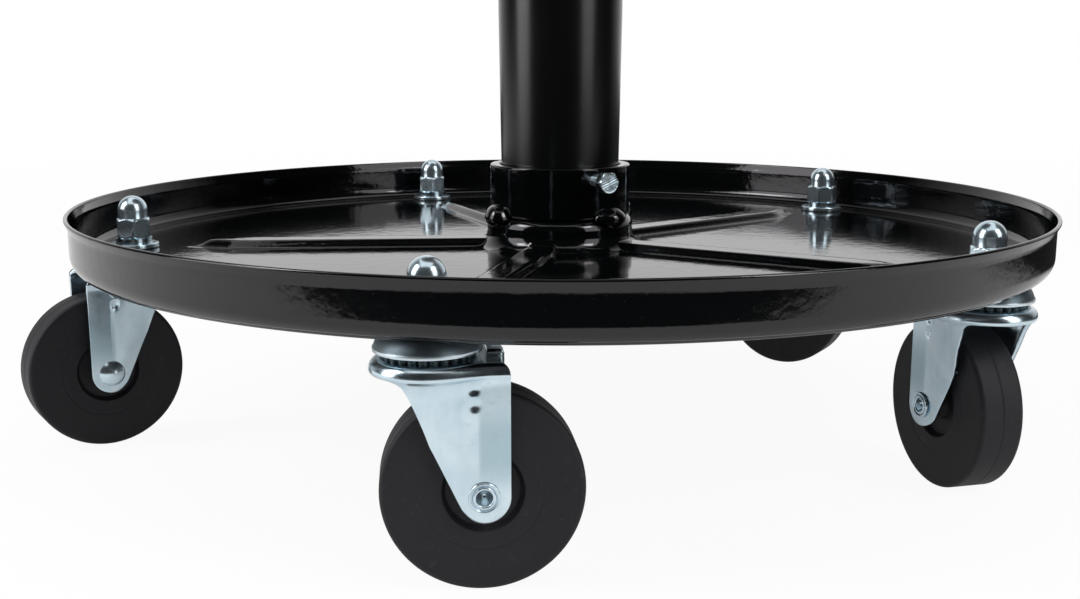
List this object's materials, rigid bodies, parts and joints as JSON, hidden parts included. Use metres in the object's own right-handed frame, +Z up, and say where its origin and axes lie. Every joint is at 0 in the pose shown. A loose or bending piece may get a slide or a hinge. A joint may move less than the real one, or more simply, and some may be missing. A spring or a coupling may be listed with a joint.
{
  "type": "swivel workshop stool",
  "caption": "Height-adjustable swivel workshop stool: padded round seat on a gas-lift column rising from a round steel tool tray that rolls on swivel casters.",
  "frame": {"origin": "on the floor under the axis of the column", "axes": "+Z up along the column, +Y to the back of the stool, +X to its right"},
  "size_m": [0.4219, 0.4125, 0.472],
  "materials": {
    "gloss_black": "high-gloss black paint",
    "satin_black": "satin black paint",
    "zinc": "blue-bright zinc plate",
    "bright_steel": "polished steel",
    "nylon": "moulded nylon",
    "grip_plastic": "moulded grip",
    "bumper_rubber": "soft rubber",
    "plywood": "bare plywood",
    "vinyl": "grained black vinyl",
    "wheel_charcoal": "hard charcoal plastic"
  },
  "bodies": {
    "base": {"tray": "gloss_black", "hub_collar": "gloss_black", "weld_beads": "gloss_black", "column_tube": "satin_black", "set_screw": "zinc", "caster_upper_races": "zinc", "caster_stems": "zinc", "flat_washers": "zinc", "lock_washers": "zinc", "cap_nuts": "zinc", "column_foot_plate": "zinc", "thrust_bearing": "bright_steel", "guide_bush": "nylon"},
    "lift_rod": {"piston_rod": "bright_steel", "piston": "bright_steel", "bump_stop": "bumper_rubber", "rod_clip": "bright_steel", "clip_washer": "zinc"},
    "seat": {"gas_cylinder": "satin_black", "rod_gland": "bright_steel", "taper_socket": "satin_black", "seat_mount": "satin_black", "lever_pivot_pin": "bright_steel", "seat_screws": "zinc", "seat_board": "plywood", "seat_cushion": "vinyl"},
    "lever": {"release_lever": "satin_black", "lever_grip": "grip_plastic"},
    "button": {"release_button": "nylon"},
    "caster_1": {"caster_1_fork": "zinc", "caster_1_balls": "bright_steel", "caster_1_axle": "zinc"},
    "wheel_1": {"caster_1_wheel": "wheel_charcoal", "caster_1_bush": "nylon"},
    "caster_2": {"caster_2_fork": "zinc", "caster_2_balls": "bright_steel", "caster_2_axle": "zinc"},
    "wheel_2": {"caster_2_wheel": "wheel_charcoal", "caster_2_bush": "nylon"},
    "caster_3": {"caster_3_fork": "zinc", "caster_3_balls": "bright_steel", "caster_3_axle": "zinc"},
    "wheel_3": {"caster_3_wheel": "wheel_charcoal", "caster_3_bush": "nylon"},
    "caster_4": {"caster_4_fork": "zinc", "caster_4_balls": "bright_steel", "caster_4_axle": "zinc"},
    "wheel_4": {"caster_4_wheel": "wheel_charcoal", "caster_4_bush": "nylon"},
    "caster_5": {"caster_5_fork": "zinc", "caster_5_balls": "bright_steel", "caster_5_axle": "zinc"},
    "wheel_5": {"caster_5_wheel": "wheel_charcoal", "caster_5_bush": "nylon"}
  },
  "joints": [
    {"name": "seat_swivel", "type": "hinge", "parent": "base", "child": "lift_rod", "pos_m": [0, 0, 0.08], "axis": [0, 0, 1], "continuous": true},
    {"name": "seat_lift", "type": "slide", "parent": "lift_rod", "child": "seat", "axis": [0, 0, 1], "range_m": [0, 0.12]},
    {"name": "lever_tilt", "type": "hinge", "parent": "seat", "child": "lever", "pos_m": [0.026, 0, 0.386], "axis": [0, -1, 0], "range_deg": [0, 8.8], "stiffness_Nm_per_rad": 1},
    {"name": "button_press", "type": "slide", "parent": "seat", "child": "button", "axis": [0, 0, 1], "range_m": [-0.004, 0]},
    {"name": "caster_1_swivel", "type": "hinge", "parent": "base", "child": "caster_1", "pos_m": [-0.03966, -0.17455, 0.07], "axis": [0, 0, 1], "continuous": true},
    {"name": "caster_1_roll", "type": "hinge", "parent": "caster_1", "child": "wheel_1", "pos_m": [-0.02376, -0.17277, 0.0315], "axis": [-0.1115, 0.9938, 0], "continuous": true},
    {"name": "caster_2_swivel", "type": "hinge", "parent": "base", "child": "caster_2", "pos_m": [-0.17826, -0.01622, 0.07], "axis": [0, 0, 1], "continuous": true},
    {"name": "caster_2_roll", "type": "hinge", "parent": "caster_2", "child": "wheel_2", "pos_m": [-0.19157, -0.0251, 0.0315], "axis": [0.5548, -0.832, 0], "continuous": true},
    {"name": "caster_3_swivel", "type": "hinge", "parent": "base", "child": "caster_3", "pos_m": [-0.07052, 0.16453, 0.07], "axis": [0, 0, 1], "continuous": true},
    {"name": "caster_3_roll", "type": "hinge", "parent": "caster_3", "child": "wheel_3", "pos_m": [-0.06774, 0.18028, 0.0315], "axis": [-0.9848, 0.1736, 0], "continuous": true},
    {"name": "caster_4_swivel", "type": "hinge", "parent": "base", "child": "caster_4", "pos_m": [0.13468, 0.1179, 0.07], "axis": [0, 0, 1], "continuous": true},
    {"name": "caster_4_roll", "type": "hinge", "parent": "caster_4", "child": "wheel_4", "pos_m": [0.12084, 0.12593, 0.0315], "axis": [-0.5015, -0.8652, 0], "continuous": true},
    {"name": "caster_5_swivel", "type": "hinge", "parent": "base", "child": "caster_5", "pos_m": [0.15375, -0.09166, 0.07], "axis": [0, 0, 1], "continuous": true},
    {"name": "caster_5_roll", "type": "hinge", "parent": "caster_5", "child": "wheel_5", "pos_m": [0.1494, -0.07626, 0.0315], "axis": [-0.9622, -0.2723, 0], "continuous": true}
  ],
  "couplings": [
    {"joint": "button_press", "follows": "lever_tilt", "m_per_rad": -0.026}
  ]
}
